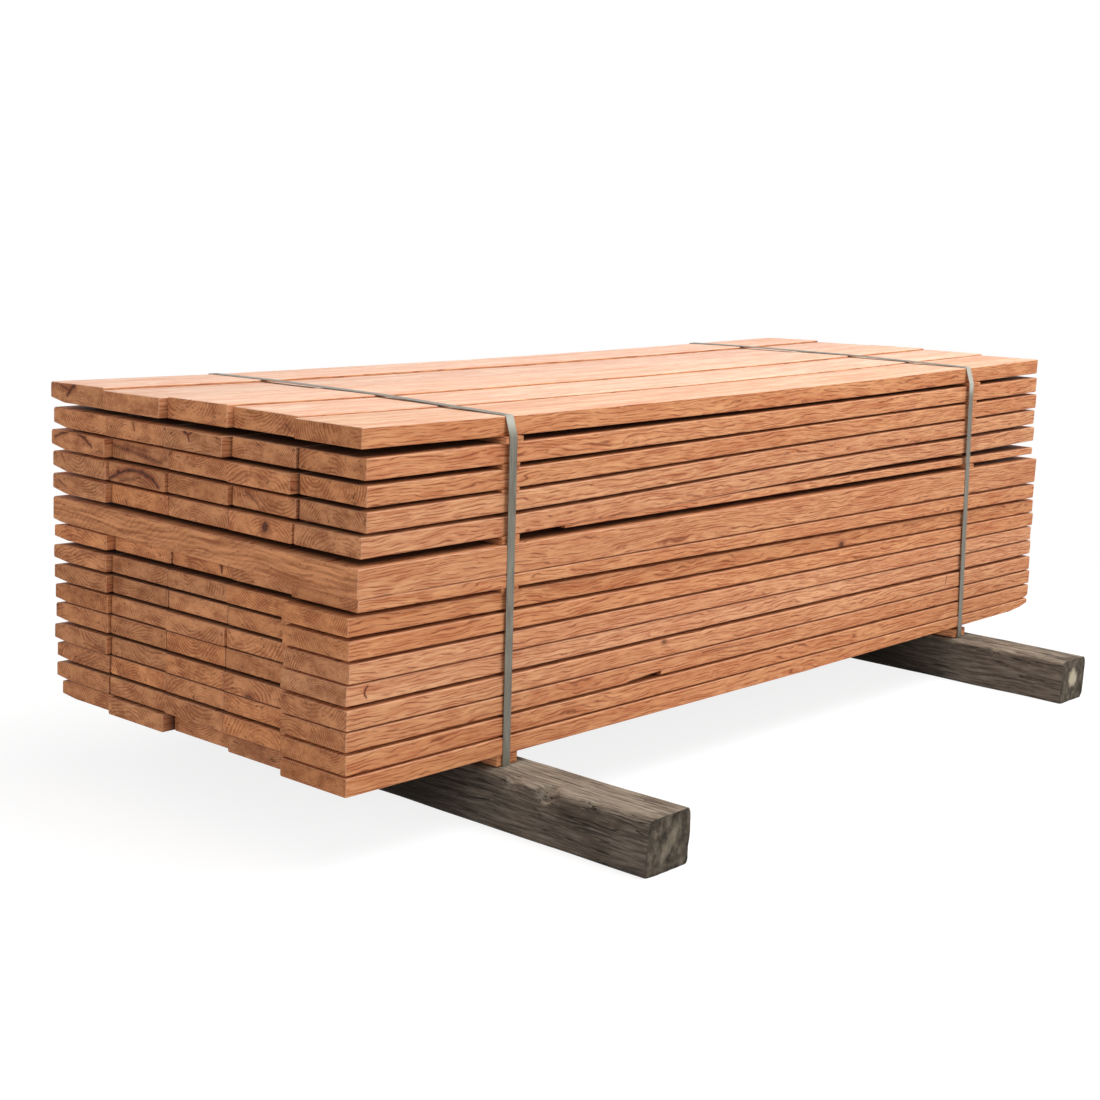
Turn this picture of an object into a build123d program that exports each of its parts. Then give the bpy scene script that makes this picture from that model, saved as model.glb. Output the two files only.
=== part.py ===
from build123d import *
import math
import os

os.makedirs("parts", exist_ok=True)

# Stack of sawn boards on two weathered timber bearers, held by two steel straps.
# Units are mm. The boards run along X, the courses lie across Y, and Z is up from the floor.
# Sizes are written in the stack's own frame, where X = 0 is near the front ends of the boards
# and Y = 0 is the middle of the stack. shift() moves them to the shared frame.
# The stack is worked out from the floor up: each course rests on a lath at each strap line,
# so that one changed thickness moves all that lies above it.

# Fits: the gap left at every seat, and the eased edge of a sawn board.
SEAT = 0.2
EASE = 2.0

# Boards: usual length, width, thickness and side gap.
BOARD_L = 2650.0
BOARD_W = 180.6
BOARD_T = 38.0
BOARD_GAP = 2.5
COURSE_W = 5 * BOARD_W + 4 * BOARD_GAP

# The two strap lines, where the lath thicknesses are given.
ST1 = 405.0
ST2 = 2255.0

# Worn lower and upper edge along the far side of the stack, width and height.
FAR_WORN_UPPER = ((45.0, 8.0), (3.0, 2.0))
FAR_WORN_LOWER = ((45.0, 4.5), (35.0, 4.5))

# Lower courses, bottom one first: number, thickness over BOARD_T, middle Y, gap over BOARD_GAP,
# lath under the course at the first and at the second strap,
# front end X of boards a to e, back end X of boards a to e past BOARD_L.
# Board a lies at the far side, board e at the near side.
LOWER = [
    (15, -1.6, -7.5, 0.0, 21.8, 20.9, (12, -4, 24, 10, -16), (12, 20, 23, 16, 14)),
    (14, -0.4, -3.7, 1.1, 3.5, 2.0, (2, 4, 0, -2, -16), (15, 22, 19, 8, 19)),
    (13, -1.2, -3.0, 0.8, 5.4, 4.5, (3, 6, 4, 2, -16), (18, 21, 10, 24, 21)),
    (12, 0.2, -2.5, 1.0, 2.7, 3.3, (-3, 8, 2, 0, -16), (20, 9, 14, 22, 15)),
    (11, 0.2, -1.0, 0.0, 6.6, 6.6, (0, 6, 6, 6, -15), (10, 18, 7, 5, 18)),
    (10, -0.4, -1.7, 0.9, 2.9, 3.7, (-1, 8, 2, 6, -12), (2, 11, -1, 10, 7)),
    (9, -2.1, -2.0, 0.8, 5.6, 3.8, (-4, 10, 10, 8, -15), (9, 0, 5, 14, 11)),
    (8, -2.6, 0.3, 0.0, 6.0, 3.1, (-5, 9, 8, 5, -15), (-2, -9, 6, 0, 11)),
]

# Seventh course: its boards thin out towards the near side of the front end, under the slab.
SEVENTH_LATHS = (8.8, 8.0)
SEVENTH_T_FRONT = 23.4
SEVENTH_T_ST2 = 36.2
SEVENTH_FAR_RISE = 9.0
SEVENTH_MID_Y = -2.8
SEVENTH_GAP = 2.6
SEVENTH_ENDS = ((-2, 16, 18, 14, 1), (-10, -6, -8, -11, -9))

# Thick slab, as wide as the stack: it is tipped, and thicker at its near side.
SHIM_T = 5.6
SLAB_W = COURSE_W + 15.5
SLAB_MID_Y = -0.2
SLAB_T_FRONT = 57.0
SLAB_T_ST2 = 65.4
SLAB_TIP = 13.0
SLAB_TOP_TIP = 8.0
SLAB_ENDS = (-2.0, -9.0)
SLAB_WORN = ((30.0, 4.0), (4.0, 3.0))
PACKING_Y = (40.0, 423.0)

# Thin boards between the slab and the fifth course, thinned at the front to fit under it.
THIN_T = 18.6
THIN_LATH = 13.0
THIN_STATIONS = (700.0, 1000.0, 1250.0)
THIN_MID_Y = 2.0
THIN_FRONTS = (590, 584, 588, 581, 579)
THIN_BACKS = (-34, -26, -42, -28, -22)

# Upper courses, bottom one first: number, thickness over BOARD_T, middle Y, gap over BOARD_GAP,
# lath under the course at the first and at the second strap, dip of the front end,
# bow in the middle, lift of the back end, drop to the far side at the front and at the back,
# front ends and back ends as above.
UPPER = [
    (5, 1.0, 3.5, 1.7, 16.0, 13.1, 5.0, 7.0, 0.0, -3.4, 1.0, (-3, 11, 10, 8, 11), (-38, -28, -45, -35, -25)),
    (4, 0.5, 3.5, 1.7, 8.0, 9.0, 7.0, 3.6, 0.0, -5.4, 3.5, (-3, 2, 8, 18, 23), (-49, -34, -41, -28, -33)),
    (3, 0.5, 3.5, 1.5, 7.1, 5.5, 5.3, 2.7, 1.0, -3.3, 6.5, (-7, 11, 8, 2, 22), (-32, -46, -39, -30, -29)),
    (2, 2.0, 2.8, 0.7, 9.9, 7.0, 6.0, -0.5, 1.0, 0.0, 9.5, (-3, -6, -8, 15, 20), (-52, -38, -25, -44, -35)),
    (1, 2.4, 4.5, 0.0, 13.0, 10.0, 2.0, -3.7, 3.0, 4.5, 12.4, (-10, -13, 6, 20, 9), (-30, -22, -28, -17, -33)),
]
# The bend of the upper courses: share of the rise between the two strap lines, and share of the bow.
BEND = [(ST1, 0.0), (700.0, 0.131), (1250.0, 0.430), (1800.0, 0.743), (ST2, 1.0), (2700.0, 1.248)]
BOW = [(ST1, 0.0), (700.0, 0.25), (1250.0, 1.0), (1800.0, 0.85), (ST2, 0.0), (2700.0, 0.0)]
# The top boards differ in thickness: extra at the far and at the near edge of boards a to e.
TOP_EXTRA = ((0.0, 3.5), (-1.8, 0.5), (2.4, 4.8), (0.5, 0.8), (-2.3, -1.0))

# Wane on the near lower edge of two boards near the back end: X past BOARD_L, width and height of the cut.
WANE = {
    "15e": [(-1150.0, 2.0, 2.0), (-330.0, 40.0, 9.0), (-90.0, 45.0, 11.0), (-30.0, 60.0, 16.0), (18.0, 90.0, 26.0)],
    "14e": [(-60.0, 2.0, 2.0), (22.0, 7.0, 10.0)],
}

# Notch broken into the lower edge of the near board of the thirteenth course.
NOTCH_X = (800.0, 923.0)
NOTCH_H = 10.0
NOTCH_DEPTH = 42.0
NOTCH_STEP = 9.0

# Laths: width, ends, and middle X at the top and at the bottom of each pile of laths.
LATH_W = 50.0
LATH_END = 0.5
LATH_SET_BACK = 34.0
LATH_PROUD = 3.0
LATH_1_X = (403.0, 425.0)
LATH_2_X = (2240.0, 2277.0)
LATH_PILE_Z = (125.0, 775.0)
BOTTOM_LATH_1 = (425.5, 60.0)
BOTTOM_LATH_2 = (2274.0, 62.0)

# Straps: thickness, width, and for each loop X at the near top, X gained for each mm down
# and X at the far top.
STRAP_T = 0.9
STRAP_W = 21.0
STRAP_1 = (397.0, 0.033, 418.0)
STRAP_2 = (2210.0, 0.082, 2220.0)

# Bearers: height, left lower edge X, right face X, front end Y, back end Y, worn corner.
BEARER_TOP = 111.8
BEARER_FRONT_Y = -871.0
BEARER_1 = (359.0, 497.0, BEARER_FRONT_Y, 429.0, 16.0)
BEARER_2 = (2222.0, 2358.0, -796.0, 440.0, 9.0)
BEARER_LEAN = 9.0
BEARER_EASE = (5.0, 6.0)
BEARER_END_EASE = 4.0

# The straps stand clear of the slab, which is the widest piece.
SLAB_NEAR = SLAB_MID_Y - SLAB_W / 2
SLAB_FAR = SLAB_MID_Y + SLAB_W / 2
STRAP_TURN = STRAP_W / 2 * (STRAP_1[2] - STRAP_1[0]) / SLAB_W
STRAP_NEAR_IN = SLAB_NEAR - SEAT - STRAP_TURN
STRAP_FAR_IN = SLAB_FAR + SEAT + STRAP_TURN

# Offsets that centre the whole object on the origin.
STACK_X_MIN = min(min(course[6]) for course in LOWER)
STACK_X_MAX = BOARD_L + max(max(course[7]) for course in LOWER)
STACK_Y_MAX = STRAP_FAR_IN + STRAP_T + STRAP_TURN
OFF_X = -(STACK_X_MIN + STACK_X_MAX) / 2
OFF_Y = -(BEARER_FRONT_Y + STACK_Y_MAX) / 2


def shift(x, y, z):
    return (x + OFF_X, y + OFF_Y, z)


def between(knots, x):
    # value at x of a line through (x, value) knots, carried on past both ends
    for (xa, va), (xb, vb) in zip(knots, knots[1:]):
        if x <= xb:
            break
    return va + (vb - va) * (x - xa) / (xb - xa)


def side_share(y):
    # 0 at the near side of the stack, 1 at the far side
    return 0.5 + y / COURSE_W


def straight(z1, z2):
    # a long face that is straight between its heights at the two strap lines
    return lambda x, y: between([(ST1, z1), (ST2, z2)], x)


def bent(z1, z2, dip, bow, lift, drop_front, drop_back):
    # a long face that follows the bend, dips at its front end and drops to the far side
    def height(x, y):
        drop = between([(0.0, drop_front), (BOARD_L, drop_back)], x) * side_share(y)
        if x < ST1:
            return z1 - dip * (ST1 - x) / ST1 - drop
        end_lift = lift * max(0.0, x - ST2) / (BOARD_L - ST2)
        return z1 + (z2 - z1) * between(BEND, x) + bow * between(BOW, x) + end_lift - drop
    return height


def raised(face, amount):
    return lambda x, y: face(x, y) + amount


def board_edges(middle, gap):
    # near and far edge Y of boards a to e
    pitch = BOARD_W + BOARD_GAP + gap
    middles = [middle + (2 - i) * pitch for i in range(5)]
    return [(y - BOARD_W / 2, y + BOARD_W / 2) for y in middles]


def outline(x, near, far, low, high, cuts, inset):
    # upright outline of a board at x, with its four long edges cut off:
    # cuts holds (width, height) of the far lower, near lower, near upper and far upper edge
    far_low, near_low, near_high, far_high = cuts
    y0 = near + inset
    y1 = far - inset
    points = [
        (y1 - far_low[0], low(x, y1 - far_low[0]) + inset),
        (y0 + near_low[0], low(x, y0 + near_low[0]) + inset),
        (y0, low(x, y0) + inset + near_low[1]),
        (y0, high(x, y0) - inset - near_high[1]),
        (y0 + near_high[0], high(x, y0 + near_high[0]) - inset),
        (y1 - far_high[0], high(x, y1 - far_high[0]) - inset),
        (y1, high(x, y1) - inset - far_high[1]),
        (y1, low(x, y1) + inset + far_low[1]),
    ]
    with BuildSketch(Plane(origin=shift(x, 0, 0), x_dir=(0, 1, 0), z_dir=(1, 0, 0))) as ring:
        with BuildLine():
            Polyline(*points, close=True)
        make_face()
    return ring.sketch


def board(x0, x1, near, far, low, high, stations=(), worn=None, wane=()):
    # one board as a ruled loft through upright outlines, with both ends eased
    rings = []
    places = [x0, x0 + EASE] + [x for x in stations if x0 + 20 < x < x1 - 20] + [x1 - EASE, x1]
    for x in places:
        eased = (EASE, EASE)
        far_low, far_high = worn or (eased, eased)
        near_low = eased
        if wane and x > wane[0][0]:
            widths = [(knot[0], knot[1]) for knot in wane]
            heights = [(knot[0], knot[2]) for knot in wane]
            near_low = (between(widths, x), between(heights, x))
        inset = EASE if x in (x0, x1) else 0.0
        rings.append(outline(x, near, far, low, high, (far_low, near_low, eased, far_high), inset))
    loft(sections=rings, ruled=True)


def lath_x(pile, z):
    return pile[1] + (pile[0] - pile[1]) * (z - LATH_PILE_Z[0]) / (LATH_PILE_Z[1] - LATH_PILE_Z[0])


def lath(x, width, y0, y1, under, over):
    # a lath across the stack, seated between the long face under it and the one over it
    rings = []
    for xx in (x - width / 2, x + width / 2):
        points = [(y0, under(xx, y0) + SEAT), (y1, under(xx, y1) + SEAT),
                  (y1, over(xx, y1) - SEAT), (y0, over(xx, y0) - SEAT)]
        with BuildSketch(Plane(origin=shift(xx, 0, 0), x_dir=(0, 1, 0), z_dir=(1, 0, 0))) as ring:
            with BuildLine():
                Polyline(*points, close=True)
            make_face()
        rings.append(ring.sketch)
    loft(sections=rings, ruled=True)


def strap_half_rise(strap):
    # height from the middle of the tipped band to its upper edge
    return STRAP_W / 2 * math.sin(math.atan(strap[1]))


def strap_room(strap):
    # height that the bottom run of a strap takes up on a bearer
    return SEAT + STRAP_T + 2 * strap_half_rise(strap)


# Heights of all long faces, from the bearers up. gaps keeps each pair of faces that laths part.
gaps = []
faces = {}
z1 = BEARER_TOP + strap_room(STRAP_1)
z2 = BEARER_TOP + strap_room(STRAP_2)
below = straight(z1, z2)
for number, extra, middle, gap, lath_1, lath_2, fronts, backs in LOWER:
    z1 += lath_1 + 2 * SEAT
    z2 += lath_2 + 2 * SEAT
    low = straight(z1, z2)
    z1 += BOARD_T + extra
    z2 += BOARD_T + extra
    faces[number] = (low, straight(z1, z2))
    gaps.append((below, low))
    below = faces[number][1]

z1 += SEVENTH_LATHS[0] + 2 * SEAT
z2 += SEVENTH_LATHS[1] + 2 * SEAT
seventh_low = straight(z1, z2)
gaps.append((below, seventh_low))
seventh_front = seventh_low(0, 0) + SEVENTH_T_FRONT
seventh_back = z2 + SEVENTH_T_ST2


def seventh_high(x, y):
    tip = SEVENTH_FAR_RISE * side_share(y) * (1 - x / ST2)
    return between([(0.0, seventh_front), (ST2, seventh_back)], x) + tip


slab_front = seventh_front + SEAT
slab_back = seventh_back + SHIM_T + 2 * SEAT


def slab_low(x, y):
    return between([(0.0, slab_front), (ST2, slab_back)], x) + SLAB_TIP * side_share(y)


def slab_high(x, y):
    tip = SLAB_TOP_TIP * side_share(y) * (1 - x / ST2)
    return between([(0.0, slab_front + SLAB_T_FRONT), (ST2, slab_back + SLAB_T_ST2)], x) + tip


def thin_low(x, y):
    # level across the stack and parallel to the near edge of the slab
    return slab_high(x, SLAB_MID_Y) - slab_tip_middle(x) + THIN_LATH + 2 * SEAT


def slab_tip_middle(x):
    return SLAB_TOP_TIP * side_share(SLAB_MID_Y) * (1 - x / ST2)


upper_gaps = []
below = None
z1 = slab_high(ST1, 0) - slab_tip_middle(ST1)
z2 = thin_low(ST2, 0) + THIN_T
for number, extra, middle, gap, lath_1, lath_2, dip, bow, lift, drop_front, drop_back, fronts, backs in UPPER:
    z1 += lath_1 + 2 * SEAT
    z2 += lath_2 + 2 * SEAT
    low = bent(z1, z2, dip, bow, lift, drop_front, drop_back)
    high = raised(low, BOARD_T + extra)
    faces[number] = (low, high)
    if below:
        upper_gaps.append((below, low))
    z1 += BOARD_T + extra
    z2 += BOARD_T + extra
    below = high


def thin_high(x, y):
    return min(thin_low(x, y) + THIN_T, faces[5][0](x, y) - SEAT)


# Lower courses.
for number, extra, middle, gap, lath_1, lath_2, fronts, backs in LOWER:
    low, high = faces[number]
    with BuildPart() as lower_course:
        for letter, (near, far), x0, x1 in zip("abcde", board_edges(middle, gap), fronts, backs):
            worn = FAR_WORN_LOWER if letter == "a" else None
            wane = [(BOARD_L + x, w, h) for x, w, h in WANE.get("%d%s" % (number, letter), ())]
            board(x0, BOARD_L + x1, near, far, low, high, [knot[0] for knot in wane], worn, wane)
        if number == 13:
            x0, x1 = NOTCH_X
            notch = [(x0, low(x0, 0) - 1), (x1, low(x1, 0) - 1),
                     (x1, low(x1, 0) + NOTCH_H), (x0 + NOTCH_STEP, low(x0, 0) + 0.3 * NOTCH_H),
                     (x0, low(x0, 0))]
            inner = Plane(origin=shift(0, near + NOTCH_DEPTH, 0), x_dir=(1, 0, 0), z_dir=(0, -1, 0))
            with BuildSketch(inner):
                with BuildLine():
                    Polyline(*notch, close=True)
                make_face()
            extrude(amount=NOTCH_DEPTH + 5, mode=Mode.SUBTRACT)
    lower_course.part.label = "boards_course_%02d" % number
    export_step(lower_course.part, "parts/boards_course_%02d.step" % number)

# Seventh course.
with BuildPart() as seventh:
    for letter, (near, far), x0, x1 in zip("abcde", board_edges(SEVENTH_MID_Y, SEVENTH_GAP), *SEVENTH_ENDS):
        worn = FAR_WORN_LOWER if letter == "a" else None
        board(x0, BOARD_L + x1, near, far, seventh_low, seventh_high, (), worn)
seventh.part.label = "boards_course_07"
export_step(seventh.part, "parts/boards_course_07.step")

# Thick slab.
with BuildPart() as slab:
    board(SLAB_ENDS[0], BOARD_L + SLAB_ENDS[1], SLAB_NEAR, SLAB_FAR, slab_low, slab_high, (), SLAB_WORN)
slab.part.label = "thick_slab"
export_step(slab.part, "parts/thick_slab.step")

# Thin boards that lift the upper courses at the back end.
with BuildPart() as thin_course:
    for (near, far), x0, x1 in zip(board_edges(THIN_MID_Y, 0.0), THIN_FRONTS, THIN_BACKS):
        rings = []
        x1 += BOARD_L
        for x in (x0,) + THIN_STATIONS + (x1 - EASE, x1):
            ease = EASE if x > x0 else EASE / 2
            inset = EASE if x == x1 else 0.0
            rings.append(outline(x, near, far, thin_low, thin_high, [(ease, ease)] * 4, inset))
        loft(sections=rings, ruled=True)
thin_course.part.label = "boards_thin_course"
export_step(thin_course.part, "parts/boards_thin_course.step")

# Upper courses, bent a little where the thin boards lift them.
bend_stations = [knot[0] for knot in BEND]
for number, extra, middle, gap, lath_1, lath_2, dip, bow, lift, drop_front, drop_back, fronts, backs in UPPER:
    low, high = faces[number]
    with BuildPart() as upper_course:
        for i, ((near, far), x0, x1) in enumerate(zip(board_edges(middle, gap), fronts, backs)):
            top = high
            worn = FAR_WORN_UPPER if i == 0 else None
            if number == 1:
                edges = [(near, TOP_EXTRA[i][1]), (far, TOP_EXTRA[i][0])]
                top = lambda x, y, edges=edges: high(x, y) + between(edges, y)
            board(x0, BOARD_L + x1, near, far, low, top, bend_stations, worn)
    upper_course.part.label = "boards_course_%02d" % number
    export_step(upper_course.part, "parts/boards_course_%02d.step" % number)

# Laths between the courses, piled up under each strap. Their ends lie back from the boards' edges,
# flush with them or a little proud, and under the top course they reach to the strap.
near_end = -COURSE_W / 2 - LATH_END
far_end = COURSE_W / 2
set_back = (near_end + LATH_SET_BACK, far_end - LATH_SET_BACK)
flush = (near_end, far_end)
proud = (near_end - LATH_PROUD, far_end)
to_strap = (SLAB_NEAR + SEAT, far_end)


def pile_lath(pile, x, ends, under, over):
    # a lath of a pile, placed along the pile by the height of the face under it at the strap line
    lath(lath_x(pile, under(x, 0)), LATH_W, *ends, under, over)


with BuildPart() as laths_1:
    for under, over in gaps[1:-1]:
        pile_lath(LATH_1_X, ST1, set_back, under, over)
    pile_lath(LATH_1_X, ST1, proud, *gaps[-1])
    lath(lath_x(LATH_1_X, seventh_front), LATH_W, *PACKING_Y, seventh_high, slab_low)
    pile_lath(LATH_1_X, ST1, proud, slab_high, faces[5][0])
    pile_lath(LATH_1_X, ST1, set_back, *upper_gaps[0])
    for under, over in upper_gaps[1:-1]:
        pile_lath(LATH_1_X, ST1, flush, under, over)
    pile_lath(LATH_1_X, ST1, to_strap, *upper_gaps[-1])
laths_1.part.label = "laths_first_strap"
export_step(laths_1.part, "parts/laths_first_strap.step")

with BuildPart() as laths_2:
    for under, over in gaps[1:]:
        pile_lath(LATH_2_X, ST2, set_back, under, over)
    pile_lath(LATH_2_X, ST2, proud, slab_high, thin_low)
    pile_lath(LATH_2_X, ST2, set_back, thin_high, faces[5][0])
    pile_lath(LATH_2_X, ST2, set_back, *upper_gaps[0])
    for under, over in upper_gaps[1:-1]:
        pile_lath(LATH_2_X, ST2, flush, under, over)
    pile_lath(LATH_2_X, ST2, to_strap, *upper_gaps[-1])
laths_2.part.label = "laths_second_strap"
export_step(laths_2.part, "parts/laths_second_strap.step")

# Shim between the seventh course and the slab at the second strap, thicker at the far side.
with BuildPart() as shim:
    lath(lath_x(LATH_2_X, seventh_back), LATH_W, near_end + 2, far_end - 2, seventh_high, slab_low)
shim.part.label = "shim_under_slab"
export_step(shim.part, "parts/shim_under_slab.step")

# Bottom laths, which lie on the straps and the bearers.
for name, (x, width), strap in (("lath_bottom_first", BOTTOM_LATH_1, STRAP_1),
                                ("lath_bottom_second", BOTTOM_LATH_2, STRAP_2)):
    z = BEARER_TOP + strap_room(strap)
    with BuildPart() as bottom_lath:
        lath(x, width, near_end - 5, far_end - 6, straight(z, z), faces[15][0])
    bottom_lath.part.label = name
    export_step(bottom_lath.part, "parts/" + name + ".step")

# Straps: flat steel loops in a tipped and turned plane, as the photo shows. The near run leans in
# from the top lath to the edge of the top board, which lies further back than the slab.
top_edges = board_edges(UPPER[-1][2], UPPER[-1][3])
top_near = top_edges[4][0] - SEAT - STRAP_TURN
for name, strap in (("strap_first", STRAP_1), ("strap_second", STRAP_2)):
    lean = strap[1]
    skew = (strap[2] - strap[0]) / (STRAP_FAR_IN - top_near)
    rise = strap_half_rise(strap)
    # the top run passes over the near edges of boards c and a, which stand highest
    crests = [(top_near, TOP_EXTRA[4][1]), (top_edges[2][0], TOP_EXTRA[2][1]),
              (top_edges[0][0], TOP_EXTRA[0][1]), (STRAP_FAR_IN, TOP_EXTRA[0][0])]
    bottom_z = BEARER_TOP + SEAT + STRAP_T + rise
    kink_z = faces[1][0](strap[0], top_near)
    ring = [(STRAP_FAR_IN, bottom_z), (STRAP_NEAR_IN, bottom_z), (STRAP_NEAR_IN, kink_z)]
    for y, extra in crests:
        x = strap[0] + skew * (y - top_near)
        ring.append((y, faces[1][1](x, y) + extra + SEAT + rise))
    top_z = ring[3][1]
    plane = Plane(origin=shift(strap[0], top_near, top_z), x_dir=(skew, 1, 0), z_dir=(1, -skew, lean))
    points = []
    for y, z in ring:
        x = strap[0] + skew * (y - top_near) + lean * (top_z - z)
        local = plane.to_local_coords(Vector(*shift(x, y, z)))
        points.append((local.X, local.Y))
    with BuildPart() as band:
        with BuildSketch(plane):
            with BuildLine():
                Polyline(*points, close=True)
            make_face()
            offset(amount=STRAP_T, kind=Kind.ARC)
            with BuildLine():
                Polyline(*points, close=True)
            make_face(mode=Mode.SUBTRACT)
        extrude(amount=STRAP_W / 2, both=True)
    band.part.label = name
    export_step(band.part, "parts/" + name + ".step")


def bearer_section(x0, x1, worn, y, inset):
    # weathered square timber with worn corners and a left face that leans in
    top = BEARER_TOP - inset
    left = x0 + inset
    right = x1 - inset
    small, large = BEARER_EASE
    points = [(left, small + inset), (left + small, inset), (right - large, inset), (right, large + inset),
              (right, top - small), (right - large, top), (left + BEARER_LEAN + worn, top),
              (left + BEARER_LEAN + worn * 0.35, top - 4), (left + BEARER_LEAN * 0.85, top - worn * 0.8)]
    with BuildSketch(Plane(origin=shift(0, y, 0), x_dir=(1, 0, 0), z_dir=(0, -1, 0))) as section:
        with BuildLine():
            Polyline(*points, close=True)
        make_face()
    return section.sketch


for name, (x0, x1, y0, y1, worn) in (("bearer_first", BEARER_1), ("bearer_second", BEARER_2)):
    stations = ((y0, BEARER_END_EASE), (y0 + BEARER_END_EASE, 0.0),
                (y1 - BEARER_END_EASE, 0.0), (y1, BEARER_END_EASE))
    with BuildPart() as bearer:
        loft(sections=[bearer_section(x0, x1, worn, y, inset) for y, inset in stations], ruled=True)
    bearer.part.label = name
    export_step(bearer.part, "parts/" + name + ".step")
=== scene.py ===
import math
import random

import bmesh
import bpy
from mathutils import Matrix, Vector, noise


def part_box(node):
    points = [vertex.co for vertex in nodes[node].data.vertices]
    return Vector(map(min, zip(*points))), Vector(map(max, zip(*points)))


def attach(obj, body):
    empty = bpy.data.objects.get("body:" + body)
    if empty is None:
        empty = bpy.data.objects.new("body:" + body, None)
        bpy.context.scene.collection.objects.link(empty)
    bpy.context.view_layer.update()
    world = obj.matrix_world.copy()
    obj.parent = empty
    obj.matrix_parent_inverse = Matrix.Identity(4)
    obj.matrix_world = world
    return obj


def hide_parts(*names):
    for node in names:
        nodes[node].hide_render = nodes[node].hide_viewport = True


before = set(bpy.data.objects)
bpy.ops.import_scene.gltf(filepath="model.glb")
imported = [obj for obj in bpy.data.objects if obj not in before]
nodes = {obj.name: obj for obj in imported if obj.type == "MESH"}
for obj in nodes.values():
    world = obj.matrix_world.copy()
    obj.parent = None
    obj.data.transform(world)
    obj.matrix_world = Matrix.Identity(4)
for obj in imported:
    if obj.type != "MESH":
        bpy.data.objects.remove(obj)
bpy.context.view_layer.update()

# Shift from the stack's own frame, in mm, to the shared frame.
OFF_X = -1329.0
OFF_Y = 202.69
MM = 0.001

# Courses of boards by number, from the top. Course 6 is the slab, and the thin boards have a number
# of their own.
COURSES = (1, 2, 3, 4, 5, 7, 8, 9, 10, 11, 12, 13, 14, 15)
BOARD_NAMES = "abcde"
THIN_COURSE = 50
LATH_NODES = ["laths_first_strap", "laths_second_strap", "shim_under_slab", "lath_bottom_first",
              "lath_bottom_second"]
TO_MM = 1000.0

# Outer sides of the stack in Y and the top of its first strap, in the shared frame in mm.
STACK_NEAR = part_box("thick_slab")[0].y * TO_MM
STACK_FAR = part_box("thick_slab")[1].y * TO_MM
STRAP_BEND_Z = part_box("strap_first")[1].z * TO_MM

# Rounding of the edges of boards and of laths, in metres.
BOARD_ROUND = 0.0009
LATH_ROUND = 0.0006
WELD_GAP = 0.00002
ROUND_ANGLE = math.radians(30.0)


def srgb(r, g, b):
    """Linear colour of an sRGB value from 0 to 255."""
    out = []
    for v in (r, g, b):
        v = v / 255
        out.append(v / 12.92 if v <= 0.04045 else ((v + 0.055) / 1.055) ** 2.4)
    return (*out, 1.0)


def place(x, y, z):
    """A point of the stack's own frame in mm, as metres in the shared frame."""
    return Vector(((x + OFF_X) * MM, (y + OFF_Y) * MM, z * MM))


# Camera fitted to the photo, in the stack's own frame in mm and in pixels of the photo.
FOCAL_PX = 1863.67
PHOTO_PX = 1100
CAM_AT = (-2267.35, -2833.05, 1200.06)
YAW, PITCH, ROLL = (math.radians(v) for v in (40.3234, 10.2327, 2.8237))
look = Vector((math.cos(PITCH) * math.cos(YAW), math.cos(PITCH) * math.sin(YAW), -math.sin(PITCH)))
level_right = Vector((math.sin(YAW), -math.cos(YAW), 0))
level_up = level_right.cross(look)
right = level_right * math.cos(ROLL) + level_up * math.sin(ROLL)
up = level_up * math.cos(ROLL) - level_right * math.sin(ROLL)


def seen_at(px, py, axis, value):
    """The point seen at a pixel of the photo, on the plane where the own frame's axis has that value."""
    ray = look * FOCAL_PX + right * (px - PHOTO_PX / 2) - up * (py - PHOTO_PX / 2)
    point = Vector(CAM_AT) + ray * ((value - CAM_AT[axis]) / ray[axis])
    return (point.x + OFF_X, point.y + OFF_Y, point.z)


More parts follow.
